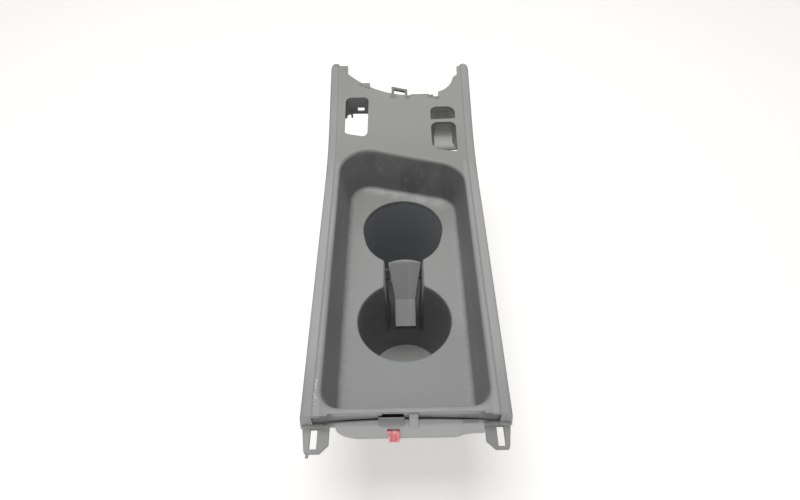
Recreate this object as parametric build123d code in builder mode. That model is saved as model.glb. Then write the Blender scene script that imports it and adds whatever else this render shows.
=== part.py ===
from build123d import *
from math import acos, atan2, cos, degrees, hypot, radians, sin, sqrt, tan
import os

# Upper trim panel of a car's centre console, moulded in one piece with a deep tray and two
# cup wells, with a sprung cup retainer flap in the channel between the wells.
# Millimetres. +X right, +Y towards the horned end, +Z up. The origin lies under the middle of
# the part, on the plane of the well bottoms. A station is a distance from the panel's rear
# edge towards the horned end, and a drop is a depth below the panel's flat top.

# Panel skin
PANEL_WIDTH = 145.4
WALL = 2.5
SKIRT_DEPTH = 20.0
SKIRT_FLARE = 1.8
SHOULDER_WIDTH = 8.3
SHOULDER_DROP = 1.8
SHOULDER_ROUND = 3.0
CREASE_STEP = 0.5
RAMP_KNEE = 274.2
RAMP_ANGLE = 17.6
RAMP_BEND_RADIUS = 250.0

# Tray, sized at the panel's flat top
TRAY_DEPTH = 42.0
TRAY_LAND = 12.9
TRAY_REAR_GAP = 6.2
TRAY_FAR_LEFT = 284.6
TRAY_FAR_RIGHT = 252.0
TRAY_NEAR_CORNER = 14.0
TRAY_FAR_CORNER = 27.0
TRAY_DRAFT = 10.0
TRAY_FLOOR_ROUND = 5.0
TRAY_RIM_ROUND = 3.5

# Cup wells, sized at the tray floor
WELL_DEPTH = 97.0
WELL_DRAFT = 2.8
WELL_FOOT_DRAFT = 3.6
WELL_FLOOR_ROUND = 1.2
WELL_RIM_ROUND = 1.6
NEAR_WELL_STATION = 105.6
NEAR_WELL_RADIUS = 40.0
FAR_WELL_STATION = 212.0
FAR_WELL_RADIUS = 38.1
FAR_MOUTH_STATION = 204.0
FAR_MOUTH_RADIUS = 36.4
CHANNEL_WIDTH = 35.4
CHANNEL_DEPTH = 67.0
CHANNEL_CORNER_ROUND = 4.0

# Retainer flap, with stations as above and depths below the tray floor
FLAP_TOP_STATION = 173.6
FLAP_TOP_DEPTH = 0.4
FLAP_CREASE_STATION = 145.2
FLAP_CREASE_DEPTH = 25.0
FLAP_NOSE_STATION = 123.2
FLAP_NOSE_DEPTH = 37.0
FLAP_LIP = 4.0
FLAP_WALL = 2.4
FLAP_CROWN = 2.2
FLAP_SIDE_CLEARANCE = 2.2
FLAP_OFFSET = 0.9
FLAP_NOSE_WIDTH = 19.0
FLAP_EDGE_ROUND = 0.7
FLAP_RIB_WALL = 1.8
FLAP_RIB_DEPTH = 4.5
FLAP_RIB_SPACING = 14.0
FLAP_RIB_SHARE = 0.7

# Flap pivot, stop bar and return spring
PIVOT_STATION = 164.0
PIVOT_DEPTH = 16.5
PIN_RADIUS = 1.5
PIN_PRESS_CLEARANCE = 0.02
PIN_RUNNING_CLEARANCE = 0.05
KNUCKLE_RADIUS = 3.6
KNUCKLE_HALF_SPAN = 12.6
PIVOT_BOSS_RADIUS = 4.5
PIVOT_BOSS_LENGTH = 3.0
STOP_BAR_RADIUS = 1.8
STOP_BAR_STATION = 168.5
STOP_CLEARANCE = 0.3
SPRING_WIRE = 0.9
SPRING_MEAN_RADIUS = 2.7
SPRING_TURNS = 4
SPRING_PITCH = 1.1
SPRING_BAY_WIDTH = 11.0
SPRING_LEG = 10.0

# Horned end, as stations along the plan outline
LEFT_HORN_TIP = 383.6
RIGHT_HORN_TIP = 380.0
HORN_NUB_WIDTH = 9.2
HORN_NUB_SHOULDER = 4.8
HORN_NUB_STEP = 3.9
HORN_CORNER_ROUND = 1.2
LEFT_STEP_REACH = 18.1
LEFT_STEP_FOOT = 369.6
LEFT_CURVE_MIDDLE = (-27.0, 350.4)
LEFT_CURVE_END = 9.0
RIGHT_STEP_REACH = 12.3
RIGHT_STEP_FOOT = 365.9
RIGHT_CURVE_REACH = 17.2
RIGHT_CURVE_STATION = 361.9
RIGHT_CURVE_MIDDLE = (50.2, 351.0)
FAR_EDGE_STATION = 341.3
NOTCH_STATION = 339.2
NOTCH_LEFT = 34.5
NOTCH_RIGHT = 39.5
NOTCH_SHOULDER = 344.9

# Fittings on the far edge
LOOP_WIDTH = 16.4
LOOP_REACH = 13.3
LOOP_SLANT = 4.5
LOOP_BAR = 2.6
LOOP_SIDE_BAR = 2.7
LOOP_CORNER_ROUND = 0.8
LOOP_DEPTH = 3.2
LOOP_ROOT_STATION = 341.0
LOOP_CENTRE = -0.6
LOOP_SINK = 1.2
LIP_LEFT = 10.9
LIP_RIGHT = 30.0
LIP_REACH = 2.4
LIP_WALL = 1.6
EAR_LEFT = -41.7
EAR_RIGHT = -31.2
EAR_STATION = 359.4
EAR_ROOT_STATION = 351.0
EAR_SINK = 1.6

# Switch openings, as plan corners, with the collars that hang from them
LEFT_SWITCH = ((-56.8, 297.6), (-33.7, 292.7), (-32.4, 339.8), (-55.9, 339.8))
LEFT_SWITCH_ROUNDS = (5.0, 5.0, 5.0, 5.0)
UPPER_SWITCH = ((30.6, 311.9), (55.4, 312.6), (55.4, 326.7), (30.6, 326.7))
UPPER_SWITCH_ROUNDS = (1.0, 1.0, 8.0, 6.0)
LOWER_SWITCH = ((30.9, 276.3), (55.5, 272.0), (55.7, 308.6), (30.6, 308.6))
LOWER_SWITCH_ROUNDS = (9.5, 2.0, 6.5, 6.5)
COLLAR_WALL = 1.8
COLLAR_FOOT_DROP = 2.5
LEFT_COLLAR_DEPTH = 20.3
LEFT_COLLAR_NEAR = 334.0
COLLAR_STEP = 0.9
COLLAR_STEP_WIDTH = 3.5
WINDOW_LEFT = -44.8
WINDOW_WIDTH = 7.0
WINDOW_TOP = 12.6
WINDOW_HEIGHT = 4.6
HOOK_WIDTH = 1.8
HOOK_LENGTH = 5.0

# Scoop pocket behind the lower right opening
POCKET_CLEARANCE = 0.1
POCKET_WALL = 1.2
POCKET_SLOPE = 17.8
POCKET_DRAFT = 18.0
POCKET_FAR_LEAN = 6.0
POCKET_BOTTOM_ROUND = 13.0
POCKET_NOTCH_LEFT = 41.0
POCKET_NOTCH_NEAR = 277.4
POCKET_NOTCH_FAR = 281.0

# Rear end: relief under the rim, ledge, skirt, snap tabs, slotted pad and rib
RELIEF_DEPTH = 1.4
RELIEF_INSET = 19.2
BAND_STATION = 1.9
BAND_WALL = 3.6
BAND_FOOT = 16.5
LEDGE_DROP = 12.5
LEDGE_CROWN_DROP = 8.4
REAR_WALL = 2.2
REAR_LIP_WALL = 0.9
REAR_SKIRT_INSET = 16.5
REAR_SKIRT_FOOT = 39.2
REAR_SKIRT_LEFT_FOOT = 19.0
REAR_SKIRT_RIGHT_FOOT = 34.0
REAR_FOOT_LEFT_INSET = 22.7
REAR_FOOT_RIGHT_INSET = 37.0
REAR_RISE_RUN = 11.0
REAR_LEFT_ROUND = 17.0
REAR_RIGHT_ROUND = 16.0
REAR_INNER_ROUND = 16.0
REAR_STEP_INSET = 33.4
REAR_STEP_DEPTH = 0.6
REAR_POST_WIDTH = 7.5
TAB_WIDTHS = (19.2, 18.2)
TAB_TAPER = 2.9
TAB_REACHES = (20.1, 19.2)
TAB_DROP = 14.0
TAB_WALL = 2.5
TAB_CHAMFER = 6.0
TAB_ROUND = 2.0
TAB_SLOT_WIDTH = 4.9
TAB_SLOT_LENGTH = 14.3
TAB_SLOT_INSETS = (6.2, 5.5)
TAB_SLOT_GAP = 2.9
TAB_PIP_RADIUS = 1.1
TAB_PIP_REACH = 2.5
PAD_LEFT = -19.0
PAD_RIGHT = -0.9
PAD_REACH = 0.7
PAD_WALL = 1.3
PAD_TOP_DROP = 5.0
PAD_FOOT_DROP = 19.5
PAD_ROUND = 5.0
PAD_SLOT_LEFT = -16.4
PAD_SLOT_RIGHT = -1.8
PAD_SLOT_RECESS = 1.6
RIB_LEFT = 2.2
RIB_WIDTH = 6.2
RIB_TOP_DROP = 1.5
RIB_FOOT_DROP = 20.5
RIB_REACH = 2.0

# Red retaining clip on the rear skirt's hem
CLIP_CENTRE = -9.1
CLIP_TOP_DROP = 23.2
CLIP_NOSE = 4.2
CLIP_WIDTH = 8.8
CLIP_WALL = 1.5
CLIP_CLEARANCE = 0.1
CLIP_GROOVE = 0.9
CLIP_GROOVE_DEPTH = 0.5
CLIP_GROOVES = 3

# Sizes worked out from those above
half_width = PANEL_WIDTH / 2
tray_half = half_width - TRAY_LAND
rear_y = (TAB_REACHES[0] + TAB_PIP_REACH - LEFT_HORN_TIP) / 2
floor_z = WELL_DEPTH + WALL
top_z = floor_z + TRAY_DEPTH
ramp = radians(RAMP_ANGLE)
clear_of_part = PANEL_WIDTH
flap_half = CHANNEL_WIDTH / 2 - FLAP_SIDE_CLEARANCE
flap_slope = atan2(FLAP_CREASE_DEPTH - FLAP_TOP_DEPTH, FLAP_TOP_STATION - FLAP_CREASE_STATION)
flap_underside = FLAP_TOP_DEPTH + (FLAP_TOP_STATION - STOP_BAR_STATION) * tan(flap_slope)
stop_depth = flap_underside + (FLAP_WALL + STOP_CLEARANCE + STOP_BAR_RADIUS) / cos(flap_slope)
pin_half = CHANNEL_WIDTH / 2 + WALL + PIVOT_BOSS_LENGTH / 2
pivot_cover = PIVOT_DEPTH - FLAP_TOP_DEPTH - (FLAP_TOP_STATION - PIVOT_STATION) * tan(flap_slope)
lug_reach = pivot_cover * cos(flap_slope) - FLAP_WALL / 2
stop_rise = PIVOT_DEPTH - stop_depth
stop_run = STOP_BAR_STATION - PIVOT_STATION
leg_offset = SPRING_MEAN_RADIUS + STOP_BAR_RADIUS + SPRING_WIRE / 2
leg_angle = atan2(stop_rise, stop_run) + acos(leg_offset / hypot(stop_run, stop_rise))
spring_turns = SPRING_TURNS + (flap_slope + radians(90) - leg_angle) / radians(360)


def at(station):
    """Y of a station."""
    return rear_y + station


def below_top(drop):
    """Z of a depth below the flat top."""
    return top_z - drop


def surface_z(station):
    """Z of the panel's top over the flat, the bend and the ramp."""
    run = RAMP_BEND_RADIUS * tan(ramp / 2)
    past = station - (RAMP_KNEE - run)
    if past <= 0:
        return top_z
    if station < RAMP_KNEE + run * cos(ramp):
        return top_z + RAMP_BEND_RADIUS - sqrt(RAMP_BEND_RADIUS**2 - past**2)
    return top_z + (station - RAMP_KNEE) * tan(ramp)


def top_line(drop, lead):
    """Side line of the panel's top, moved down square to itself, from a lead behind the rear edge."""
    knee = RAMP_KNEE + drop * tan(ramp / 2)
    far = LEFT_HORN_TIP + SKIRT_DEPTH
    return FilletPolyline(
        (at(-lead), below_top(drop)),
        (at(knee), below_top(drop)),
        (at(far), below_top(drop) + (far - knee) * tan(ramp)),
        radius=RAMP_BEND_RADIUS + drop,
    )


def block(x_span, y_span, z_span, mode=Mode.ADD):
    """A square-edged block between two values on each axis."""
    spans = (x_span, y_span, z_span)
    middle = [(low + high) / 2 for low, high in spans]
    with Locations(tuple(middle)):
        return Box(*[high - low for low, high in spans], mode=mode)


def plan_face(corners, grow=0.0):
    """A plan face from corners given as X and station, grown outwards all round."""
    with BuildLine() as outline:
        Polyline(*[(x, at(station)) for x, station in corners], close=True)
    make_face(outline.edges())
    if grow:
        offset(amount=grow, kind=Kind.INTERSECTION)


def tray_form(skin):
    """The tray's hollow or, with a skin, the outside of its drafted walls and floor."""
    draft = radians(TRAY_DRAFT)
    corners = (
        (-tray_half, TRAY_REAR_GAP),
        (tray_half, TRAY_REAR_GAP),
        (tray_half, TRAY_FAR_RIGHT),
        (-tray_half, TRAY_FAR_LEFT),
    )
    with BuildPart() as form:
        for level in (floor_z - skin, top_z + SKIRT_DEPTH):
            with BuildSketch(Plane.XY.offset(level)) as outline:
                plan_face(corners)
                fillet(outline.vertices().sort_by(Axis.Y)[-2:], TRAY_FAR_CORNER)
                fillet(outline.vertices().group_by(Axis.Y)[0], TRAY_NEAR_CORNER)
                offset(amount=(level - top_z) * tan(draft) + skin / cos(draft))
        loft(ruled=True)
        fillet(form.faces().sort_by(Axis.Z)[0].edges(), TRAY_FLOOR_ROUND + skin)
    return form.part


def wells_outline():
    """Plan at the tray floor: both wells, the far one drawn out to its mouth, and the channel."""
    near_y = at(NEAR_WELL_STATION)
    far_y = at(FAR_WELL_STATION)
    reach = CHANNEL_WIDTH / 2
    with BuildSketch() as outline:
        with Locations((0, far_y)):
            Circle(FAR_WELL_RADIUS)
        with Locations((0, at(FAR_MOUTH_STATION))):
            Circle(FAR_MOUTH_RADIUS)
        make_hull()
        with Locations((0, near_y)):
            Circle(NEAR_WELL_RADIUS)
        with Locations((0, (near_y + far_y) / 2)):
            Rectangle(CHANNEL_WIDTH, far_y - near_y)
        corners = [v for v in outline.vertices() if abs(abs(v.X) - reach) < WALL / 2]
        fillet(corners, CHANNEL_CORNER_ROUND)
    return outline.sketch


def wells_form(skin):
    """The hollow of both wells and the channel or, with a skin, the outside of their walls."""
    draft = radians(WELL_DRAFT)
    brim = floor_z + (-WALL / 2 if skin else WALL)
    bed = floor_z - CHANNEL_DEPTH - skin
    foot = floor_z - WELL_DEPTH - skin

    def grow(level):
        return skin / cos(draft) + (level - floor_z) * tan(draft)

    with BuildPart() as form:
        wells = ((NEAR_WELL_STATION, NEAR_WELL_RADIUS), (FAR_WELL_STATION, FAR_WELL_RADIUS))
        for station, radius in wells:
            with Locations((0, at(station), foot)):
                Cone(
                    bottom_radius=radius + grow(bed) - (bed - foot) * tan(radians(WELL_FOOT_DRAFT)),
                    top_radius=radius + grow(bed),
                    height=bed - foot,
                    align=(Align.CENTER, Align.CENTER, Align.MIN),
                )
        fillet(form.faces().group_by(Axis.Z)[0].edges(), WELL_FLOOR_ROUND + skin)
        with BuildSketch(Plane.XY.offset(brim)):
            add(wells_outline())
            offset(amount=grow(brim))
        extrude(amount=bed - brim, taper=WELL_DRAFT)
    return form.part


# Walls that hang under the skin: tray, wells and the switch collars, trimmed inside the skin
with BuildPart() as backing:
    add(tray_form(WALL))
    left_far = LEFT_SWITCH[2][1]
    left_foot = surface_z(left_far) - LEFT_COLLAR_DEPTH
    left_collar = tuple((x, max(station, LEFT_COLLAR_NEAR)) for x, station in LEFT_SWITCH)
    for corners, foot in ((left_collar, left_foot), (UPPER_SWITCH, below_top(COLLAR_FOOT_DROP))):
        with BuildSketch(Plane.XY.offset(foot)):
            plan_face(corners, COLLAR_WALL)
        extrude(amount=SKIRT_DEPTH * 2)
    step_left = LEFT_SWITCH[3][0]
    hook_left = step_left + COLLAR_STEP_WIDTH
    hangers = (
        (step_left, hook_left, COLLAR_STEP),
        (hook_left, hook_left + HOOK_WIDTH, HOOK_LENGTH),
    )
    for left, right, length in hangers:
        block(
            (left, right),
            (at(left_far), at(left_far) + COLLAR_WALL),
            (left_foot - length, left_foot + COLLAR_WALL),
        )
    with BuildSketch(Plane.YZ):
        with BuildLine():
            line = top_line(WALL / 2, WALL)
            Polyline(line @ 1, line @ 1 + (0, clear_of_part), line @ 0 + (0, clear_of_part), line @ 0)
        make_face()
    extrude(amount=clear_of_part, both=True, mode=Mode.SUBTRACT)
    add(wells_form(WALL))


with BuildPart() as console_panel:
    # Skin with its side skirts: one section carried along the top line
    with BuildLine(Plane.YZ) as spine:
        top_line(0, 0)
    rear_end = Plane(origin=(0, rear_y, top_z), x_dir=(1, 0, 0), z_dir=(0, -1, 0))
    with BuildSketch(rear_end) as section:
        crease = half_width - SHOULDER_WIDTH
        inner = half_width - WALL
        with BuildLine():
            Polyline(
                (0, 0),
                (crease, 0),
                (crease + CREASE_STEP, -CREASE_STEP),
                (half_width, -SHOULDER_DROP),
                (half_width + SKIRT_FLARE, -SKIRT_DEPTH),
                (inner + SKIRT_FLARE, -SKIRT_DEPTH),
                (inner, -SHOULDER_DROP - WALL),
                (crease, -WALL),
                (0, -WALL),
                close=True,
            )
        make_face()
        mirror(about=Plane.YZ)
        shoulders = [v for v in section.vertices() if abs(v.Y + SHOULDER_DROP) < CREASE_STEP]
        fillet(shoulders, SHOULDER_ROUND)
    sweep(path=spine.line)

    # Plan outline of the horned end
    with BuildSketch() as beyond_far_edge:
        left_tip = at(LEFT_HORN_TIP)
        right_tip = at(RIGHT_HORN_TIP)
        left_shoulder = left_tip - HORN_NUB_SHOULDER
        right_shoulder = right_tip - HORN_NUB_SHOULDER
        nub_side = half_width - HORN_NUB_WIDTH
        nub_middle = half_width - HORN_NUB_WIDTH / 2
        outside = half_width + SKIRT_DEPTH
        far_edge = at(FAR_EDGE_STATION)
        left_step = LEFT_STEP_REACH - half_width
        right_step = half_width - RIGHT_STEP_REACH
        right_curve = (half_width - RIGHT_CURVE_REACH, at(RIGHT_CURVE_STATION))
        with BuildLine():
            left_nub = ThreePointArc(
                (-half_width, left_shoulder), (-nub_middle, left_tip), (-nub_side, left_tip - HORN_NUB_STEP)
            )
            left_edge = FilletPolyline(
                left_nub @ 1,
                (left_step, left_tip - HORN_NUB_STEP),
                (left_step, at(LEFT_STEP_FOOT)),
                radius=HORN_CORNER_ROUND,
            )
            left_curve = ThreePointArc(
                left_edge @ 1,
                (LEFT_CURVE_MIDDLE[0], at(LEFT_CURVE_MIDDLE[1])),
                (LEFT_CURVE_END, far_edge),
            )
            notch = Polyline(
                left_curve @ 1,
                (NOTCH_LEFT, far_edge),
                (NOTCH_LEFT, at(NOTCH_STATION)),
                (NOTCH_RIGHT, at(NOTCH_STATION)),
                (NOTCH_RIGHT, at(NOTCH_SHOULDER)),
            )
            ThreePointArc(
                notch @ 1, (RIGHT_CURVE_MIDDLE[0], at(RIGHT_CURVE_MIDDLE[1])), right_curve
            )
            right_edge = FilletPolyline(
                right_curve,
                (right_step, at(RIGHT_STEP_FOOT)),
                (right_step, right_tip - HORN_NUB_STEP),
                (nub_side, right_tip - HORN_NUB_STEP),
                radius=HORN_CORNER_ROUND,
            )
            ThreePointArc(right_edge @ 1, (nub_middle, right_tip), (half_width, right_shoulder))
            Polyline(
                (half_width, right_shoulder),
                (outside, right_shoulder),
                (outside, left_tip + clear_of_part),
                (-outside, left_tip + clear_of_part),
                (-outside, left_shoulder),
                (-half_width, left_shoulder),
            )
        make_face()
    extrude(amount=2 * clear_of_part, mode=Mode.SUBTRACT)
    relief_half = half_width - RELIEF_INSET
    block(
        (-relief_half, relief_half),
        (at(-RELIEF_DEPTH), at(RELIEF_DEPTH)),
        (below_top(WALL), top_z + WALL),
        Mode.SUBTRACT,
    )

    # Rear band under the rim, the ledge that carries the next trim piece, and the crowned skirt
    band_end = at(BAND_STATION + BAND_WALL)
    skirt_half = half_width - REAR_SKIRT_INSET
    foot_left = REAR_FOOT_LEFT_INSET - half_width
    foot_right = half_width - REAR_FOOT_RIGHT_INSET
    block((-inner, inner), (at(BAND_STATION), band_end), (below_top(BAND_FOOT), below_top(WALL / 2)))
    block(
        (-skirt_half, skirt_half),
        (rear_y, band_end),
        (below_top(LEDGE_DROP + REAR_WALL), below_top(LEDGE_DROP)),
    )
    with BuildSketch(Plane.XZ.offset(-rear_y)):
        with BuildLine():
            hem = FilletPolyline(
                (-skirt_half, below_top(LEDGE_DROP)),
                (-skirt_half, below_top(REAR_SKIRT_LEFT_FOOT)),
                (foot_left, below_top(REAR_SKIRT_LEFT_FOOT)),
                (foot_left, below_top(REAR_SKIRT_FOOT)),
                (foot_right, below_top(REAR_SKIRT_FOOT)),
                (foot_right + REAR_RISE_RUN, below_top(REAR_SKIRT_RIGHT_FOOT)),
                (skirt_half, below_top(REAR_SKIRT_RIGHT_FOOT)),
                (skirt_half, below_top(LEDGE_DROP)),
                radius=[0, 0, REAR_LEFT_ROUND, REAR_RIGHT_ROUND, REAR_INNER_ROUND, 0],
            )
            ThreePointArc(hem @ 1, (0, below_top(LEDGE_CROWN_DROP)), hem @ 0)
        make_face()
    extrude(amount=-REAR_WALL)
    block(
        (-skirt_half, skirt_half),
        (at(REAR_LIP_WALL), at(BAND_STATION)),
        (below_top(LEDGE_DROP), below_top(WALL)),
        Mode.SUBTRACT,
    )
    block(
        (half_width - REAR_STEP_INSET, skirt_half),
        (at(-REAR_STEP_DEPTH), at(REAR_STEP_DEPTH)),
        (below_top(REAR_SKIRT_FOOT), below_top(LEDGE_CROWN_DROP)),
        Mode.SUBTRACT,
    )

    # Slotted snap tabs at the rear corners, each with a post up to the skin
    for side, width, reach, inset in zip((-1, 1), TAB_WIDTHS, TAB_REACHES, TAB_SLOT_INSETS):
        outer_x = side * half_width
        tip_x = side * (half_width - TAB_TAPER)
        inner_x = side * (half_width - width)
        slot_x = outer_x - side * (inset + TAB_SLOT_WIDTH / 2)
        block(
            sorted((outer_x, outer_x - side * REAR_POST_WIDTH)),
            (rear_y, at(REAR_WALL)),
            (below_top(TAB_DROP + TAB_WALL), below_top(SHOULDER_DROP + WALL / 2)),
        )
        with BuildSketch(Plane.XY.offset(below_top(TAB_DROP))) as tab:
            with BuildLine():
                Polyline(
                    (inner_x, band_end),
                    (outer_x, band_end),
                    (outer_x, rear_y),
                    (tip_x, at(-reach)),
                    (inner_x, at(-reach)),
                    close=True,
                )
            make_face()
            tip = tab.vertices().group_by(Axis.Y)[0].sort_by(Axis.X)
            chamfer(tip[0 if side > 0 else 1], TAB_CHAMFER)
            tip = tab.vertices().group_by(Axis.Y)[0].sort_by(Axis.X)
            fillet(tip[1 if side > 0 else 0], TAB_ROUND)
            with Locations((slot_x, at(-TAB_SLOT_GAP - TAB_SLOT_LENGTH / 2))):
                Rectangle(TAB_SLOT_WIDTH, TAB_SLOT_LENGTH, mode=Mode.SUBTRACT)
        extrude(amount=-TAB_WALL)
    pip_x = TAB_TAPER + 2 * TAB_PIP_RADIUS - half_width
    pip_z = below_top(TAB_DROP + TAB_WALL / 2)
    with Locations(Location((pip_x, at(-TAB_REACHES[0]), pip_z), (90, 0, 0))):
        Cylinder(TAB_PIP_RADIUS, 2 * TAB_PIP_REACH)

    # Slotted pad on the skirt, and the upright rib beside it
    pad_front = at(PAD_WALL - PAD_REACH)
    block(
        (PAD_SLOT_LEFT, PAD_SLOT_RIGHT),
        (pad_front, at(BAND_STATION)),
        (below_top(LEDGE_DROP + REAR_WALL), top_z),
        Mode.SUBTRACT,
    )
    block(
        (PAD_SLOT_LEFT, PAD_SLOT_RIGHT),
        (at(BAND_STATION), at(BAND_STATION + PAD_SLOT_RECESS)),
        (below_top(LEDGE_DROP), below_top(WALL)),
        Mode.SUBTRACT,
    )
    with BuildSketch(Plane.XZ.offset(PAD_REACH - rear_y)) as pad:
        with Locations(((PAD_LEFT + PAD_RIGHT) / 2, below_top((PAD_TOP_DROP + PAD_FOOT_DROP) / 2))):
            Rectangle(PAD_RIGHT - PAD_LEFT, PAD_FOOT_DROP - PAD_TOP_DROP)
        fillet(pad.vertices().group_by(Axis.Y)[0], PAD_ROUND)
    extrude(amount=-PAD_WALL)
    block(
        (RIB_LEFT, RIB_LEFT + RIB_WIDTH),
        (at(-RIB_REACH), at(BAND_STATION)),
        (below_top(RIB_FOOT_DROP), below_top(RIB_TOP_DROP)),
    )

    # Tray, wells and collars, with the pivot bosses on the channel's walls
    add(backing.part)
    pivot = (0, at(PIVOT_STATION), floor_z - PIVOT_DEPTH)
    boss_half = CHANNEL_WIDTH / 2 + WALL + PIVOT_BOSS_LENGTH
    with Locations(Location(pivot, (0, 90, 0))):
        Cylinder(PIVOT_BOSS_RADIUS, 2 * boss_half)
    add(tray_form(0), mode=Mode.SUBTRACT)
    rim = [edge for edge in console_panel.edges(Select.LAST) if edge.center().Z > below_top(WALL / 2)]
    fillet(rim, TRAY_RIM_ROUND)
    add(wells_form(0), mode=Mode.SUBTRACT)
    brims = [edge for edge in console_panel.edges(Select.LAST) if abs(edge.center().Z - floor_z) < WALL / 2]
    fillet(brims, WELL_RIM_ROUND)

    # Pin holes in the bosses, and the bar that stops the flap at its upper end
    with Locations(Location(pivot, (0, 90, 0))):
        Cylinder(PIN_RADIUS + PIN_PRESS_CLEARANCE, 2 * pin_half, mode=Mode.SUBTRACT)
    with Locations(Location((0, at(STOP_BAR_STATION), floor_z - stop_depth), (0, 90, 0))):
        Cylinder(STOP_BAR_RADIUS, CHANNEL_WIDTH + WALL)

    # Switch openings through the skin and down their collars
    openings = (
        (LEFT_SWITCH, LEFT_SWITCH_ROUNDS),
        (UPPER_SWITCH, UPPER_SWITCH_ROUNDS),
        (LOWER_SWITCH, LOWER_SWITCH_ROUNDS),
    )
    for corners, rounds in openings:
        with BuildSketch(Plane.XY.offset(floor_z)) as opening:
            plan_face(corners)
            for (x, station), radius in zip(corners, rounds):
                fillet(opening.vertices().sort_by_distance((x, at(station)))[0], radius)
        extrude(amount=clear_of_part, mode=Mode.SUBTRACT)
    window_z = surface_z(left_far) - WINDOW_TOP
    block(
        (WINDOW_LEFT, WINDOW_LEFT + WINDOW_WIDTH),
        (at(left_far) - COLLAR_WALL, at(left_far) + 2 * COLLAR_WALL),
        (window_z - WINDOW_HEIGHT, window_z),
        Mode.SUBTRACT,
    )

    # Loop, lip and ear on the far edge, lying along the ramp
    root = (
        (LOOP_CENTRE, LOOP_ROOT_STATION, LOOP_SINK),
        ((LIP_LEFT + LIP_RIGHT) / 2, FAR_EDGE_STATION, LOOP_SINK),
        ((EAR_LEFT + EAR_RIGHT) / 2, EAR_ROOT_STATION, EAR_SINK),
    )
    loop_root, lip_root, ear_root = [
        Plane(
            origin=(x, at(station), surface_z(station) - sink),
            x_dir=(1, 0, 0),
            z_dir=(0, -sin(ramp), cos(ramp)),
        )
        for x, station, sink in root
    ]
    loop_half = LOOP_WIDTH / 2
    hole_half = loop_half - LOOP_SIDE_BAR
    hole_reach = LOOP_REACH - LOOP_BAR
    hole_slant = LOOP_SLANT * LOOP_SIDE_BAR / LOOP_WIDTH
    with BuildSketch(loop_root) as loop:
        with BuildLine():
            Polyline(
                (-loop_half, -LOOP_BAR),
                (loop_half, -LOOP_BAR),
                (loop_half, LOOP_REACH - LOOP_SLANT),
                (-loop_half, LOOP_REACH),
                close=True,
            )
        make_face()
        fillet(loop.vertices().sort_by(Axis.Y)[-2:], LOOP_CORNER_ROUND)
        with BuildLine():
            Polyline(
                (-hole_half, 0),
                (hole_half, 0),
                (hole_half, hole_reach - LOOP_SLANT + hole_slant),
                (-hole_half, hole_reach - hole_slant),
                close=True,
            )
        make_face(mode=Mode.SUBTRACT)
    extrude(amount=-LOOP_DEPTH)
    with BuildSketch(lip_root):
        Rectangle(LIP_RIGHT - LIP_LEFT, 2 * LIP_REACH)
    extrude(amount=-LIP_WALL)
    with BuildSketch(ear_root):
        Rectangle(EAR_RIGHT - EAR_LEFT, 2 * (EAR_STATION - EAR_ROOT_STATION))
    extrude(amount=-LIP_WALL)

with BuildPart() as cup_retainer_flap:
    # Bent plate with a turned-down lip, cut to its crowned and tapering plan
    top, bend, nose = [
        (at(station), floor_z - depth)
        for station, depth in (
            (FLAP_TOP_STATION, FLAP_TOP_DEPTH),
            (FLAP_CREASE_STATION, FLAP_CREASE_DEPTH),
            (FLAP_NOSE_STATION, FLAP_NOSE_DEPTH),
        )
    ]
    with BuildSketch(Plane.YZ):
        with BuildLine():
            Polyline(top, bend, nose, (nose[0], nose[1] - FLAP_LIP))
            offset(amount=FLAP_WALL, side=Side.LEFT)
        make_face()
    extrude(amount=CHANNEL_WIDTH, both=True)
    with BuildSketch():
        nose_half = FLAP_NOSE_WIDTH / 2
        crown_y = top[0] - FLAP_CROWN
        with BuildLine():
            crown = ThreePointArc(
                (FLAP_OFFSET - flap_half, crown_y),
                (FLAP_OFFSET, top[0]),
                (FLAP_OFFSET + flap_half, crown_y),
            )
            Polyline(
                crown @ 1,
                (FLAP_OFFSET + nose_half, bend[0]),
                (FLAP_OFFSET + nose_half, nose[0] - FLAP_WALL),
                (FLAP_OFFSET - nose_half, nose[0] - FLAP_WALL),
                (FLAP_OFFSET - nose_half, bend[0]),
                crown @ 0,
            )
        make_face()
    extrude(amount=floor_z + WALL, mode=Mode.INTERSECT)
    shown = [face for face in cup_retainer_flap.faces() if face.normal_at().Z > sin(ramp)]
    crease_z = bend[1]
    border = [e for face in shown for e in face.edges() if abs(e.center().Z - crease_z) > FLAP_WALL]
    fillet(border, FLAP_EDGE_ROUND)

    # Two ribs beneath, and two knuckles for the pin with the spring's bay between them
    rib_start = PIVOT_STATION - KNUCKLE_RADIUS
    rib_depth = FLAP_TOP_DEPTH + (FLAP_TOP_STATION - rib_start) * tan(flap_slope)
    rib_top = (at(rib_start), floor_z - rib_depth)
    rib_end = tuple(low + (high - low) * FLAP_RIB_SHARE for low, high in zip(bend, nose))
    for side in (-1, 1):
        rib_plane = Plane.YZ.offset(side * (FLAP_RIB_SPACING + side * FLAP_RIB_WALL) / 2)
        with BuildSketch(rib_plane):
            with BuildLine():
                Polyline(rib_top, bend, rib_end)
                offset(amount=FLAP_WALL + FLAP_RIB_DEPTH, side=Side.LEFT)
            make_face()
        extrude(amount=-FLAP_RIB_WALL)
        with BuildSketch(Plane.YZ.offset(side * SPRING_BAY_WIDTH / 2)):
            with Locations(Location((pivot[1], pivot[2], 0), (0, 0, degrees(flap_slope)))):
                Circle(KNUCKLE_RADIUS)
                with Locations((0, lug_reach / 2)):
                    Rectangle(2 * KNUCKLE_RADIUS, lug_reach)
        extrude(amount=side * (KNUCKLE_HALF_SPAN - SPRING_BAY_WIDTH / 2))
    with Locations(Location(pivot, (0, 90, 0))):
        Cylinder(PIN_RADIUS + PIN_RUNNING_CLEARANCE, 2 * KNUCKLE_HALF_SPAN, mode=Mode.SUBTRACT)

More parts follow.
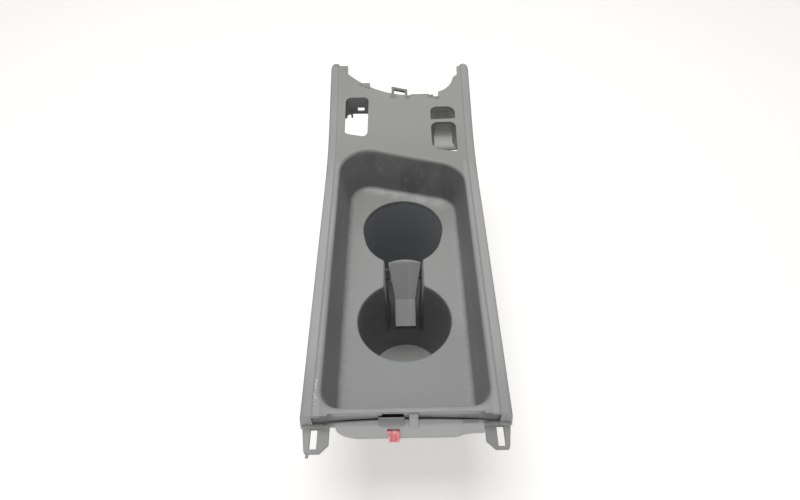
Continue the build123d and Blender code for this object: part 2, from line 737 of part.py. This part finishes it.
# Steel pin pressed into the bosses
with BuildPart() as flap_pivot_pin:
    with BuildSketch(Plane.YZ.offset(-pin_half)):
        with Locations(pivot[1:]):
            Circle(PIN_RADIUS)
    extrude(amount=2 * pin_half)
    chamfer(flap_pivot_pin.edges(), PIN_RADIUS / 4)

# Return spring, wound along its own Z axis and turned onto the pin afterwards
with BuildPart() as wound_spring:
    with BuildLine() as coil:
        Helix(pitch=SPRING_PITCH, height=SPRING_PITCH * spring_turns, radius=SPRING_MEAN_RADIUS)
    with BuildSketch(Plane(origin=coil.line @ 0, z_dir=coil.line % 0)):
        Circle(SPRING_WIRE / 2)
    sweep(path=coil.line)
    for end in (0, 1):
        with BuildSketch(Plane(origin=coil.line @ end, z_dir=coil.line % end)):
            Circle(SPRING_WIRE / 2)
        extrude(amount=SPRING_LEG if end else -SPRING_LEG)
spring_seat = Plane(
    origin=(-SPRING_PITCH * spring_turns / 2, pivot[1], pivot[2]),
    x_dir=(0, cos(leg_angle), sin(leg_angle)),
    z_dir=(1, 0, 0),
)
flap_torsion_spring = spring_seat.location * wound_spring.part


def pocket_form(skin):
    """The scoop's hollow or, with a skin, its outside: drafted sides over a rising floor."""
    near = LOWER_SWITCH[0][1]
    far = LOWER_SWITCH[2][1]
    near_z = surface_z(near) - WALL
    far_z = surface_z(far) - WALL
    tilt = atan2(far_z - near_z, far - near)
    foot_z = near_z - (far - near) * tan(radians(POCKET_SLOPE))
    foot_y = at(far) - (far_z - foot_z) * tan(radians(POCKET_FAR_LEAN))
    mouth = Plane(origin=(0, at(near), near_z), x_dir=(1, 0, 0), z_dir=(0, -sin(tilt), cos(tilt)))
    with BuildPart() as form:
        with BuildSketch(mouth) as outline:
            corners = [(x, (station - near) / cos(tilt)) for x, station in LOWER_SWITCH]
            with BuildLine() as rim:
                Polyline(*corners, close=True)
            make_face(rim.edges())
            for corner, radius in zip(corners, LOWER_SWITCH_ROUNDS):
                fillet(outline.vertices().sort_by_distance(corner)[0], radius)
            offset(amount=skin + POCKET_CLEARANCE)
        extrude(amount=-SKIRT_DEPTH - skin, taper=POCKET_DRAFT)
        with BuildSketch(Plane.YZ) as side:
            with BuildLine() as profile:
                Polyline(
                    (at(far), far_z + WALL),
                    (at(far), far_z),
                    (foot_y, foot_z),
                    (at(near), near_z),
                    (at(near), far_z + WALL),
                    close=True,
                )
            make_face(profile.edges())
            offset(amount=skin + POCKET_CLEARANCE, kind=Kind.INTERSECTION)
            fillet(side.vertices().sort_by(Axis.Y)[0], POCKET_BOTTOM_ROUND + skin)
        extrude(amount=clear_of_part, both=True, mode=Mode.INTERSECT)
    return form.part


# Scoop pocket, seated under the skin round the lower right opening, short of its near right corner
with BuildPart() as switch_pocket:
    add(pocket_form(POCKET_WALL))
    with BuildSketch(Plane.YZ):
        with BuildLine():
            line = top_line(WALL + POCKET_CLEARANCE, WALL)
            Polyline(line @ 1, line @ 1 + (0, clear_of_part), line @ 0 + (0, clear_of_part), line @ 0)
        make_face()
    extrude(amount=clear_of_part, both=True, mode=Mode.SUBTRACT)
    add(pocket_form(0), mode=Mode.SUBTRACT)
    notch_corners = (
        (POCKET_NOTCH_LEFT, LOWER_SWITCH[1][1] - SKIRT_DEPTH),
        (half_width, LOWER_SWITCH[1][1] - SKIRT_DEPTH),
        (half_width, POCKET_NOTCH_FAR),
        (POCKET_NOTCH_LEFT, POCKET_NOTCH_NEAR),
    )
    with BuildSketch(Plane.XY.offset(floor_z)):
        plan_face(notch_corners)
    extrude(amount=clear_of_part, mode=Mode.SUBTRACT)

# Red clip pushed up over the rear skirt's hem
with BuildPart() as retaining_clip:
    clip_front = rear_y - CLIP_CLEARANCE - CLIP_WALL
    clip_back = at(REAR_WALL) + CLIP_CLEARANCE + CLIP_WALL
    clip_seat = below_top(REAR_SKIRT_FOOT) - CLIP_CLEARANCE
    clip_top = below_top(CLIP_TOP_DROP)
    block(
        (CLIP_CENTRE - CLIP_WIDTH / 2, CLIP_CENTRE + CLIP_WIDTH / 2),
        (clip_front, clip_back),
        (clip_seat - CLIP_NOSE, clip_top),
    )
    fillet(retaining_clip.edges().filter_by(Axis.X).group_by(Axis.Z)[0], CLIP_WALL)
    block(
        (CLIP_CENTRE - CLIP_WIDTH, CLIP_CENTRE + CLIP_WIDTH),
        (clip_front + CLIP_WALL, clip_back - CLIP_WALL),
        (clip_seat, clip_top + CLIP_WALL),
        Mode.SUBTRACT,
    )
    groove_pitch = CLIP_WIDTH / (CLIP_GROOVES + 1)
    for number in range(CLIP_GROOVES):
        groove_x = CLIP_CENTRE - CLIP_WIDTH / 2 + (number + 1) * groove_pitch
        block(
            (groove_x - CLIP_GROOVE / 2, groove_x + CLIP_GROOVE / 2),
            (clip_front - CLIP_WALL, clip_front + CLIP_GROOVE_DEPTH),
            (clip_seat, clip_top - CLIP_WALL),
            Mode.SUBTRACT,
        )

console_panel.part.label = "console_panel"
cup_retainer_flap.part.label = "cup_retainer_flap"
flap_pivot_pin.part.label = "flap_pivot_pin"
flap_torsion_spring.label = "flap_torsion_spring"
switch_pocket.part.label = "switch_pocket"
retaining_clip.part.label = "retaining_clip"
os.makedirs("parts", exist_ok=True)
export_step(console_panel.part, "parts/console_panel.step")
export_step(cup_retainer_flap.part, "parts/cup_retainer_flap.step")
export_step(flap_pivot_pin.part, "parts/flap_pivot_pin.step")
export_step(flap_torsion_spring, "parts/flap_torsion_spring.step")
export_step(switch_pocket.part, "parts/switch_pocket.step")
export_step(retaining_clip.part, "parts/retaining_clip.step")
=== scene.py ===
import math

import bpy
from mathutils import Matrix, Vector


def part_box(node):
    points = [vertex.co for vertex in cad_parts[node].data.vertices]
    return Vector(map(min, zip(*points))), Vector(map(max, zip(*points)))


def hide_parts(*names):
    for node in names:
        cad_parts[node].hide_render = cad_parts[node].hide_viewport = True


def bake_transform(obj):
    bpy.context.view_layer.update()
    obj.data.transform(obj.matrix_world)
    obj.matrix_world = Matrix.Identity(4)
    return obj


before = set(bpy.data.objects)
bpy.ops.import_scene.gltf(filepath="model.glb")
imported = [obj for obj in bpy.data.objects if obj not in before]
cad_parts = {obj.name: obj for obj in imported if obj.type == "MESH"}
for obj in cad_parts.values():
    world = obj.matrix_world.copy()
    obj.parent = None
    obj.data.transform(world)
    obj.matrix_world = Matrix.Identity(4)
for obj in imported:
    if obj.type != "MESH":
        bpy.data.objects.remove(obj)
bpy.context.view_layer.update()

# Console panel: one injection moulding in warm grey polypropylene, with a fine spark-eroded grain
# from the tool on every show face. It has been in use: the rim is rubbed, the tray holds dust, and
# the rear left corner carries white scuffs from being prised out.
# Besides the plastic's own greys, some tones below stand for painted shade and painted light
PANEL_WARM = (0.284, 0.282, 0.266, 1)
PANEL_COOL = (0.281, 0.285, 0.295, 1)
PANEL_PALE = (0.335, 0.333, 0.323, 1)
PANEL_WORN_AND_LIT = (0.442, 0.446, 0.444, 1)
PANEL_WALL_SHADE = (0.255, 0.255, 0.260, 1)
COLLAR_SHADE_DARK = (0.14, 0.14, 0.14, 1)
COLLAR_SHADE_GREY = (0.34, 0.34, 0.335, 1)
WELL_PAINTED_LIGHT = (0.66, 0.66, 0.65, 1)
WELL_BLUE_PAINTED_LIGHT = (0.40, 0.415, 0.435, 1)
GRIME_AND_SHADE = (0.07, 0.07, 0.072, 1)
DUST_AND_HIGHLIGHT_WHITE = (0.60, 0.59, 0.565, 1)
SMUDGE_DARK = (0.12, 0.12, 0.125, 1)
SCUFF_WHITE = (0.85, 0.85, 0.84, 1)

# Heights of the panel's top, tray floor, channel bed and tabs. A station is a distance from the
# panel's rear edge towards the horned end.
REAR_Y = -0.1805
TOP_Z = 0.1415
FLOOR_Z = 0.0995
BED_Z = 0.0325
TAB_Z = 0.1275
TRAY_HALF = 0.0598
CHANNEL_HALF = 0.0180
RAMP_STATION = 0.3086
RAMP_Z = 0.1516
RAMP_RISE = 0.33
FAR_FOOT_STATION = 0.2567
FAR_FOOT_SLANT = 0.347
LOOP_MIDDLE = -0.0006
SCUFF_MIDDLE = -0.0632
SCUFF_STATION = 0.018
MOTTLE_PITCH = 22.0
SPECKLE_PITCH = 1600.0
GRAIN_PITCH = 1100
GRAIN_HEIGHT = 0.00012
EDGE_RADIUS = 0.0006

# Painted shade marks on the far edge: place across the panel, station and reach
SHADE_MARKS = (
    (-0.0405, 0.3550, 0.0035),
    (-0.0355, 0.3525, 0.0030),
    (-0.0325, 0.3510, 0.0025),
    (-0.0070, 0.3400, 0.0060),
    (0.0076, 0.3385, 0.0050),
    (0.0320, 0.3395, 0.0060),
    (0.0380, 0.3375, 0.0050),
)
MARK_SQUEEZE = 1.5


class Shade:
    """A socket of a finish. Sums on it add Math nodes, and node() adds any other kind."""

    def __init__(self, tree, socket=None):
        self.tree = tree
        self.socket = socket

    def node(self, kind, settings=None, sockets=None, output=0):
        made = self.tree.nodes.new(kind)
        for name, value in (settings or {}).items():
            setattr(made, name, value)
        for name, value in (sockets or {}).items():
            if isinstance(value, Shade):
                self.tree.links.new(value.socket, made.inputs[name])
            else:
                made.inputs[name].default_value = value
        return Shade(self.tree, made.outputs[output])

    def sum(self, operation, first, second):
        return self.node("ShaderNodeMath", {"operation": operation}, {0: first, 1: second})

    def __add__(self, other):
        return self.sum("ADD", self, other)

    __radd__ = __add__

    def __sub__(self, other):
        return self.sum("SUBTRACT", self, other)

    def __rsub__(self, other):
        return self.sum("SUBTRACT", other, self)

    def __mul__(self, other):
        return self.sum("MULTIPLY", self, other)

    __rmul__ = __mul__

    def axis(self, number):
        """One of the three values of a place or a direction."""
        return self.node("ShaderNodeSeparateXYZ", {}, {0: self}, output=number)

    def size(self):
        return self.sum("ABSOLUTE", self, 0.0)

    def between(self, low, high):
        """0 below low and 1 above high, with a soft step."""
        return self.node(
            "ShaderNodeMapRange",
            {"interpolation_type": "SMOOTHSTEP"},
            {"Value": self, "From Min": low, "From Max": high},
        )

    def below(self, low, high):
        """1 below low and 0 above high, with a soft step."""
        return 1 - self.between(low, high)

    def span(self, start, full, fading, gone):
        """0 before start, 1 from full to fading, and 0 again once gone."""
        return self.between(start, full) * self.below(fading, gone)

    def around(self, middle, reach):
        """1 at a middle value, falling to 0 at a reach either side of it."""
        return (self - middle).size().below(reach * 0.5, reach)

    def tint(self, first, second):
        """A colour that goes from first to second with this value."""
        return self.node(
            "ShaderNodeMix",
            {"data_type": "RGBA"},
            {"Factor": self, 6: first, 7: second},
            output=2,
        )


def new_finish(name):
    """An empty finish: its material, its shader and a Shade to build from."""
    material = bpy.data.materials.new(name)
    material.use_nodes = True
    shader = material.node_tree.nodes["Principled BSDF"]
    return material, shader, Shade(material.node_tree)


def feed(shader, **links):
    """Joins values to the shader's sockets, whose names have spaces for underscores."""
    for name, value in links.items():
        value.tree.links.new(value.socket, shader.inputs[name.replace("_", " ")])


def dress(piece, finish):
    """Gives a piece its one finish."""
    piece.data.materials.clear()
    piece.data.materials.append(finish)


def noise(shade, place, pitch, detail):
    """Even noise about 0.5."""
    return shade.node(
        "ShaderNodeTexNoise", {}, {"Vector": place, "Scale": pitch, "Detail": detail}
    )


def flecks(shade, place, pitch, low, high, stretch=(1, 1, 1)):
    """Patches of noise, 0 to 1, drawn out along an axis where its stretch is small."""
    spot = shade.node("ShaderNodeVectorMath", {"operation": "MULTIPLY"}, {0: place, 1: stretch})
    return noise(shade, spot, pitch, 3.0).between(low, high)


def grain_normal(shade, place, strength):
    """Moulded grain over edges that are broken as a tool breaks them."""
    cells = shade.node(
        "ShaderNodeTexVoronoi", {"feature": "SMOOTH_F1"}, {"Vector": place, "Scale": GRAIN_PITCH}
    )
    pores = noise(shade, place, GRAIN_PITCH * 0.6, 3.0)
    edge = shade.node("ShaderNodeBevel", {"samples": 4}, {"Radius": EDGE_RADIUS})
    return shade.node(
        "ShaderNodeBump",
        {},
        {
            "Strength": strength,
            "Distance": GRAIN_HEIGHT,
            "Height": cells * 0.6 + pores * 0.8,
            "Normal": edge,
        },
    )


panel_finish, panel_shader, shade = new_finish("panel_grained_grey")
place = shade.node("ShaderNodeTexCoord", output="Object")
facing = shade.node("ShaderNodeTexCoord", output="Normal")
across, height = place.axis(0), place.axis(2)
station = place.axis(1) - REAR_Y
side = across.size()
sideways = facing.axis(0).size().between(0.75, 0.95)
upward = facing.axis(2)
outward = upward.below(0.3, 0.7)
steep = upward.size().below(0.25, 0.85)

# The grey warms from the rear to the far end; the steep walls of the tray and wells carry painted
# shade
mottle = noise(shade, place, MOTTLE_PITCH, 4.0)
speckle = noise(shade, place, SPECKLE_PITCH, 1.0)
panel_tone = station.between(0.02, 0.29).tint(PANEL_COOL, PANEL_WARM)
panel_tone = (mottle * 0.4 + speckle * 0.25).tint(panel_tone, PANEL_PALE)
hollow = height.below(TOP_Z - 0.004, TOP_Z + 0.001) * side.below(0.061, 0.066)
hollow = hollow * station.between(0.004, 0.008)
body = (hollow * steep).tint(panel_tone, PANEL_WALL_SHADE)

# The shoulders are paler, most beside the tray
shoulder_weight = 0.35 + 0.65 * station.span(0.01, 0.06, 0.20, 0.31)
shoulder = side.between(0.0646, 0.0656) * upward.between(0.5, 0.8)
body = (shoulder * shoulder_weight * (0.7 + mottle * 0.3)).tint(body, PANEL_WORN_AND_LIT)

# Painted shade on the switch collars; on the right it is darkest at the top
collar = steep * side.below(0.0575, 0.0585) * station.span(0.2785, 0.2805, 0.3425, 0.3435)
skin = (station - RAMP_STATION) * RAMP_RISE + RAMP_Z
lighter_collar_shade = across.between(-0.001, 0.001) * (skin - height).between(0.001, 0.0055)
body = collar.tint(body, lighter_collar_shade.tint(COLLAR_SHADE_DARK, COLLAR_SHADE_GREY))

# Painted shade on the channel's bed and fittings; its walls have painted shade below, painted
# light above
channel = side.below(CHANNEL_HALF, CHANNEL_HALF + 0.0005) * height.between(BED_Z - 0.001, BED_Z)
channel = channel * station.below(0.18, 0.19)
bed = channel * (1 - sideways) * station.between(0.128, 0.134)
body = (bed * (1 - 0.6 * outward)).tint(body, GRIME_AND_SHADE)
past_well = station.between(0.138, 0.146)
channel_wall_shade_and_light = height.between(FLOOR_Z - 0.036, FLOOR_Z - 0.005).tint(PANEL_WALL_SHADE, WELL_PAINTED_LIGHT)
body = (channel * past_well * sideways).tint(body, channel_wall_shade_and_light)

# Painted light pales the bottom of the near well, and the far well's bottom holds grime
well_floors = height.below(0.003, 0.006) * upward.between(0.6, 0.9)
body = (well_floors * (0.62 + 0.38 * station.between(0.12, 0.138))).tint(body, WELL_PAINTED_LIGHT)
body = (well_floors * station.between(0.150, 0.160)).tint(body, GRIME_AND_SHADE)
# Painted shade on the walls of the near well
near_well = steep * height.below(FLOOR_Z - 0.006, FLOOR_Z - 0.003) * side.below(0.041, 0.043)
near_well = near_well * station.between(0.058, 0.062) * (1 - past_well)
body = (near_well * 0.13).tint(body, GRIME_AND_SHADE)
# Painted light, bluish, on the walls of the far well
far_well_wall_light = steep * height.below(FLOOR_Z - 0.005, FLOOR_Z - 0.003) * side.below(0.038, 0.042)
far_well_wall_light = far_well_wall_light * station.between(0.205, 0.225)
body = (far_well_wall_light * 0.85).tint(body, WELL_BLUE_PAINTED_LIGHT)

# Painted shade darkens the band under the rear rim, its recessed ends and the slotted pad
rear_face = outward * station.below(0.004, 0.006) * height.between(TOP_Z - 0.018, TOP_Z - 0.016)
band = rear_face * station.between(-0.0002, 0.0006)
band = band * (1 - 0.7 * height.between(TOP_Z - 0.008, TOP_Z - 0.001))
less_shade = across.below(0.006, 0.009) + across.around(0.0275, 0.013)
ends = side.span(0.0495, 0.0515, 0.0632, 0.0640)
end_face = rear_face * station.between(-0.0006, -0.0002)
end_tone = 0.35 + 0.33 * height.between(TOP_Z - 0.015, TOP_Z - 0.011)
rear_shade = band * (0.78 - 0.2 * less_shade) * (1 - ends) + ends * end_face * end_tone
body = rear_shade.tint(body, GRIME_AND_SHADE)
pad = station.below(-0.0006, -0.0002) * across.span(-0.0205, -0.0195, -0.0005, 0.0005)
pad = pad * height.between(TOP_Z - 0.030, TOP_Z - 0.006)
body = (pad * 0.75).tint(body, GRIME_AND_SHADE)

# The right tab is darker than the left, and a pale flecked line runs along both roots
right_tab = across.between(0.05, 0.052) * station.below(-0.004, -0.002)
body = (right_tab * 0.25).tint(body, GRIME_AND_SHADE)
tab_root = height.around(TAB_Z, 0.0008) * station.around(-0.001, 0.0018)
tab_root = tab_root * upward.between(0.6, 0.9)
body = (tab_root * (0.2 + 0.5 * flecks(shade, place, 300.0, 0.4, 0.6))).tint(body, DUST_AND_HIGHLIGHT_WHITE)
skirt = outward * station.below(0.0004, 0.0009) * side.below(0.055, 0.057)
# Painted shade on the skirt just under the ledge
under_ledge = skirt * station.between(-0.0004, -0.0001)
under_ledge = under_ledge * height.between(TOP_Z - 0.0170, TOP_Z - 0.0125)
body = (under_ledge * 0.28).tint(body, GRIME_AND_SHADE)
# Painted light from the table, mottled, pales the skirt towards its hem
hem = skirt * height.below(TOP_Z - 0.023, TOP_Z - 0.013)
body = (hem * (0.2 + mottle * 0.2)).tint(body, PANEL_WORN_AND_LIT)

# The tray's rim is rubbed paler where things are lifted in and out, and carries a painted
# highlight
side_rim = height.around(TOP_Z - 0.001, 0.003) * side.around(TRAY_HALF + 0.0015, 0.0026)
rear_rim = height.around(TOP_Z, 0.003) * station.around(0.0045, 0.003) * side.below(0.05, 0.06)
rubbed_and_highlight = side_rim + rear_rim
rubbed_and_highlight = rubbed_and_highlight * (0.45 + 0.55 * flecks(shade, place, 60.0, 0.3, 0.75, (1, 0.3, 1)))
body = (rubbed_and_highlight * (0.45 + 0.35 * station.between(0.10, 0.22))).tint(body, PANEL_WORN_AND_LIT)

# The tray floor is paler in the middle, darker at the rear, and has painted shade along its left
# foot
floor_level = height.around(FLOOR_Z, 0.007)
paler_middle = floor_level * station.around(0.155, 0.075)
darker_rear = floor_level * station.below(0.014, 0.05)
left_foot_shade = floor_level * across.below(-0.052, -0.034) * station.between(0.08, 0.14)
left_foot_shade = left_foot_shade * (0.08 + 0.14 * across.below(-0.0515, -0.0465))
body = (paler_middle * 0.26).tint(body, PANEL_WORN_AND_LIT)
body = (darker_rear * 0.14 + left_foot_shade).tint(body, GRIME_AND_SHADE)

# A painted highlight along the foot of the far wall, dust by the side walls, specks over the floor
far_foot_highlight = (station + across * FAR_FOOT_SLANT - FAR_FOOT_STATION).between(-0.011, 0.001)
far_foot_highlight = far_foot_highlight * height.around(FLOOR_Z, 0.004) * side.below(0.036, 0.048)
far_foot_highlight = far_foot_highlight * (0.35 + 0.65 * flecks(shade, place, 90.0, 0.35, 0.65))
body = far_foot_highlight.tint(body, PANEL_WORN_AND_LIT)
dust = floor_level * side.between(0.040, 0.053) * flecks(shade, place, 160.0, 0.42, 0.72)
specks = floor_level * flecks(shade, place, 900.0, 0.69, 0.75)
body = (dust * 0.18 + specks * 0.5).tint(body, DUST_AND_HIGHLIGHT_WHITE)

# Smudges of old spills on the tray's far wall, and long rub marks down both side walls
spill = station.between(0.25, 0.262) * flecks(shade, place, 55.0, 0.5, 0.66, (1, 1, 0.35))
# The far wall is darker towards its foot, and the right wall towards the far end
low_wall = height.span(FLOOR_Z - 0.0015, FLOOR_Z, FLOOR_Z + 0.004, FLOOR_Z + 0.032)
low_wall = low_wall * station.between(0.236, 0.244)
right_wall = across.between(0.036, 0.044) * station.between(0.16, 0.235)
right_wall = right_wall * height.between(FLOOR_Z, FLOOR_Z + 0.001)
smudge_and_darkening = hollow * steep * (spill * 0.3 + low_wall * 0.45 + right_wall * 0.35)
body = smudge_and_darkening.tint(body, SMUDGE_DARK)
streak = hollow * steep * flecks(shade, place, 120.0, 0.55, 0.75, (1, 0.12, 1))
body = (streak * 0.16).tint(body, DUST_AND_HIGHLIGHT_WHITE)

# Painted shade at the roots of the ear, the loop and the lip and on the loop; the horn tips and
# far left are darker
squeezed = shade.node(
    "ShaderNodeVectorMath", {"operation": "MULTIPLY"}, {0: place, 1: (1, MARK_SQUEEZE, 0)}
)
marks = sum(
    shade.node(
        "ShaderNodeVectorMath",
        {"operation": "DISTANCE"},
        {0: squeezed, 1: (mark_x, (REAR_Y + mark_station) * MARK_SQUEEZE, 0)},
        output="Value",
    ).below(0, reach)
    for mark_x, mark_station, reach in SHADE_MARKS
)
marks = marks * upward.between(0.6, 0.8)
loop = (across - LOOP_MIDDLE).size().below(0.0088, 0.0095) * station.between(0.3425, 0.3435)
tips = station.between(0.3785, 0.3825)
left_dim = station.between(0.31, 0.36) * across.below(-0.055, -0.01)
body = (marks * 0.6 + loop * 0.5 + tips * 0.25 + left_dim * 0.13).tint(body, GRIME_AND_SHADE)

# White scuffs at the rear left corner, where a tool has prised the panel out, and hair scratches
show_face = upward.between(0.7, 0.95)
corner = across.around(SCUFF_MIDDLE, 0.0011) * station.around(SCUFF_STATION, 0.014) * show_face
scuff = corner * flecks(shade, place, 750.0, 0.53, 0.60, (1, 0.5, 1))
body = (scuff * 0.8).tint(body, SCUFF_WHITE)
hairline = flecks(shade, place, 260.0, 0.70, 0.74, (1, 0.04, 1)) * show_face
hairline = hairline * station.below(0.29, 0.30)
body = (hairline * 0.18).tint(body, DUST_AND_HIGHLIGHT_WHITE)
feed(
    panel_shader,
    Base_Color=body,
    Roughness=0.47 + mottle * 0.16 - rubbed_and_highlight * 0.1 + dust * 0.15,
    Normal=grain_normal(shade, place, 0.35),
)
dress(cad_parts["console_panel"], panel_finish)

# Retainer flap: a smaller moulding in the same plastic from a smoother tool. It hangs on a steel
# pin across the channel and leans into the near well, where it keeps a can from tipping. Cans have
# polished its middle and left specks of dust.
FLAP_GREY = (0.215, 0.215, 0.215, 1)
FLAP_PALE = (0.27, 0.27, 0.265, 1)
FLAP_SHADED = (0.045, 0.045, 0.046, 1)
FLAP_MIDDLE = 0.0009
flap_finish, flap_shader, shade = new_finish("flap_satin_grey")
place = shade.node("ShaderNodeTexCoord", output="Object")
upward = shade.node("ShaderNodeTexCoord", output="Normal").axis(2)
mottle = noise(shade, place, 45.0, 4.0)
body = mottle.tint(FLAP_GREY, FLAP_PALE)
body = upward.below(0.15, 0.5).tint(body, FLAP_SHADED)
polish = place.axis(0).around(FLAP_MIDDLE, 0.009)
polish = polish * flecks(shade, place, 70.0, 0.3, 0.7, (1, 0.2, 0.2))
scratch = flecks(shade, place, 380.0, 0.66, 0.72, (1, 0.06, 0.06))
specks = flecks(shade, place, 1100.0, 0.70, 0.75)
# A painted highlight along the flap's top edge
crown_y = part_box("cup_retainer_flap")[1][1]
crown_highlight = place.axis(1).between(crown_y - 0.0035, crown_y - 0.0012)
body = (polish * 0.12 + scratch * 0.25 + specks * 0.6 + crown_highlight * 0.4).tint(body, DUST_AND_HIGHLIGHT_WHITE)
feed(
    flap_shader,
    Base_Color=body,
    Roughness=0.44 + mottle * 0.15 - polish * 0.1,
    Normal=grain_normal(shade, place, 0.2),
)
dress(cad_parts["cup_retainer_flap"], flap_finish)

# Pin and return spring: drawn steel wire with a dark phosphate skin, rubbed bright in patches. One
# leg of the spring bears on the stop bar and the other under the flap, so the coil winds up as the
# flap goes down.
WIRE_DARK = (0.085, 0.085, 0.088, 1)
WIRE_RUBBED = (0.13, 0.13, 0.13, 1)
wire_finish, wire_shader, shade = new_finish("phosphated_steel_wire")
place = shade.node("ShaderNodeTexCoord", output="Object")
rub = flecks(shade, place, 500.0, 0.5, 0.75)
feed(wire_shader, Base_Color=rub.tint(WIRE_DARK, WIRE_RUBBED), Roughness=0.72 - rub * 0.12)
wire_shader.inputs["Metallic"].default_value = 1.0
dress(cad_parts["flap_pivot_pin"], wire_finish)
solid_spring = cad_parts["flap_torsion_spring"]
wound_spring = bpy.data.objects.new("wound_spring", solid_spring.data.copy())
wound_spring.matrix_world = solid_spring.matrix_world
bpy.context.scene.collection.objects.link(wound_spring)
dress(wound_spring, wire_finish)
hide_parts("flap_torsion_spring")
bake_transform(wound_spring)

# Scoop pocket: a thin separate moulding let into the lower right opening, a little smoother and
# paler than the panel. Its far end, its sides and its near lip carry painted shade.
POCKET_GREY = (0.43, 0.43, 0.42, 1)
POCKET_PALE = (0.495, 0.495, 0.485, 1)
POCKET_SHADE = (0.185, 0.185, 0.182, 1)
pocket_finish, pocket_shader, shade = new_finish("pocket_satin_grey")
place = shade.node("ShaderNodeTexCoord", output="Object")
facing = shade.node("ShaderNodeTexCoord", output="Normal")
station = place.axis(1) - REAR_Y
mottle = noise(shade, place, 60.0, 4.0)
far_end = station.between(0.2940, 0.3055)
cheeks = facing.axis(0).size().between(0.2, 0.6) * (0.6 + 0.4 * station.between(0.283, 0.296))
lip = station.below(0.280, 0.2895)
shaded = shade.sum("MINIMUM", far_end + cheeks + lip * 0.8, 1.0)
feed(
    pocket_shader,
    Base_Color=shaded.tint(mottle.tint(POCKET_GREY, POCKET_PALE), POCKET_SHADE),
    Roughness=0.4 + mottle * 0.15,
    Normal=grain_normal(shade, place, 0.2),
)
dress(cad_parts["switch_pocket"], pocket_finish)

# Red clip: a nylon clip pushed up over the hem of the rear skirt, glossy, with white stress marks
# along its ridges where it was bent.
CLIP_RED = (0.66, 0.09, 0.12, 1)
CLIP_STRESS = (0.90, 0.62, 0.63, 1)
clip_finish, clip_shader, shade = new_finish("clip_red_nylon")
place = shade.node("ShaderNodeTexCoord", output="Object")
stress = flecks(shade, place, 520.0, 0.43, 0.70, (1, 1, 0.12))
cloud = noise(shade, place, 150.0, 3.0)
feed(
    clip_shader,
    Base_Color=(stress * 0.7).tint(CLIP_RED, CLIP_STRESS),
    Roughness=0.28 + cloud * 0.2,
    Normal=grain_normal(shade, place, 0.1),
)
dress(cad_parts["retaining_clip"], clip_finish)

# Table, light and camera: the part stands on a white table under a large soft lamp, seen from the
# rear and above. The table shows as white to the camera and keeps the part's shadow.
TABLE_SIZE = 6.0
TABLE_WHITE = (0.86, 0.848, 0.82, 1)
TABLE_WARM = (1.0, 0.988, 0.96, 1)
TABLE_ROUGHNESS = 0.6
TABLE_LIFT = 0.44
SKY_WHITE = (1, 1, 1, 1)
SKY_STRENGTH = 0.2
LAMP_PLACE = (-0.1, 0.12, 1.5)
LAMP_SIZE = 0.9
LAMP_POWER = 13.6
FILL_PLACE = (0.0, -1.3, 0.09)
FILL_SIZE = (0.9, 0.12)
FILL_POWER = 6.6
CAMERA_PLACE = (0.0021, -0.35336, 0.51184)
CAMERA_DOWN = 49.11
CAMERA_TURN = 0.82
CAMERA_ROLL = -1.87
CAMERA_LENS = 26.08
CAMERA_SENSOR = 36.0


def in_view(shade):
    """1 on what the camera sees, straight or mirrored, and 0 where light only bounces."""
    straight = shade.node("ShaderNodeLightPath", output="Is Camera Ray")
    mirrored = shade.node("ShaderNodeLightPath", output="Is Glossy Ray")
    return shade.sum("MAXIMUM", straight, mirrored)


bpy.ops.object.select_all(action="DESELECT")
bpy.ops.mesh.primitive_plane_add(size=TABLE_SIZE)
table = bpy.context.object
table.name = "table"
table_finish, table_shader, shade = new_finish("white_table")
table_shader.inputs["Base Color"].default_value = TABLE_WHITE
table_shader.inputs["Roughness"].default_value = TABLE_ROUGHNESS
lit = Shade(table_finish.node_tree, table_shader.outputs[0])
lift = shade.node("ShaderNodeEmission", {}, {"Color": TABLE_WARM, "Strength": TABLE_LIFT})
lifted = shade.node("ShaderNodeAddShader", {}, {0: lit, 1: lift})
white = shade.node("ShaderNodeMixShader", {}, {0: in_view(shade), 1: lit, 2: lifted})
feed(table_finish.node_tree.nodes["Material Output"], Surface=white)
dress(table, table_finish)

sky = bpy.data.worlds.new("studio_sky")
sky.use_nodes = True
bpy.context.scene.world = sky
sky_back = sky.node_tree.nodes["Background"]
sky_back.inputs["Color"].default_value = SKY_WHITE
feed(sky_back, Strength=in_view(Shade(sky.node_tree)) * (1 - SKY_STRENGTH) + SKY_STRENGTH)

lamp_data = bpy.data.lights.new("soft_lamp", "AREA")
lamp_data.energy = LAMP_POWER
lamp_data.shape = "SQUARE"
lamp_data.size = LAMP_SIZE
lamp = bpy.data.objects.new("soft_lamp", lamp_data)
lamp.location = LAMP_PLACE
bpy.context.scene.collection.objects.link(lamp)
fill_data = bpy.data.lights.new("low_fill", "AREA")
fill_data.energy = FILL_POWER
fill_data.shape = "RECTANGLE"
fill_data.size, fill_data.size_y = FILL_SIZE
fill = bpy.data.objects.new("low_fill", fill_data)
fill.location = FILL_PLACE
fill.rotation_euler = (math.radians(90), 0, 0)
bpy.context.scene.collection.objects.link(fill)

camera_data = bpy.data.cameras.new("photo_camera")
camera_data.sensor_width = CAMERA_SENSOR
camera_data.lens = CAMERA_LENS
camera = bpy.data.objects.new("photo_camera", camera_data)
camera.matrix_world = (
    Matrix.Translation(CAMERA_PLACE)
    @ Matrix.Rotation(math.radians(CAMERA_TURN), 4, "Z")
    @ Matrix.Rotation(math.radians(90 - CAMERA_DOWN), 4, "X")
    @ Matrix.Rotation(math.radians(CAMERA_ROLL), 4, "Z")
)
bpy.context.scene.collection.objects.link(camera)
bpy.context.scene.camera = camera
bpy.context.scene.view_settings.view_transform = "Standard"
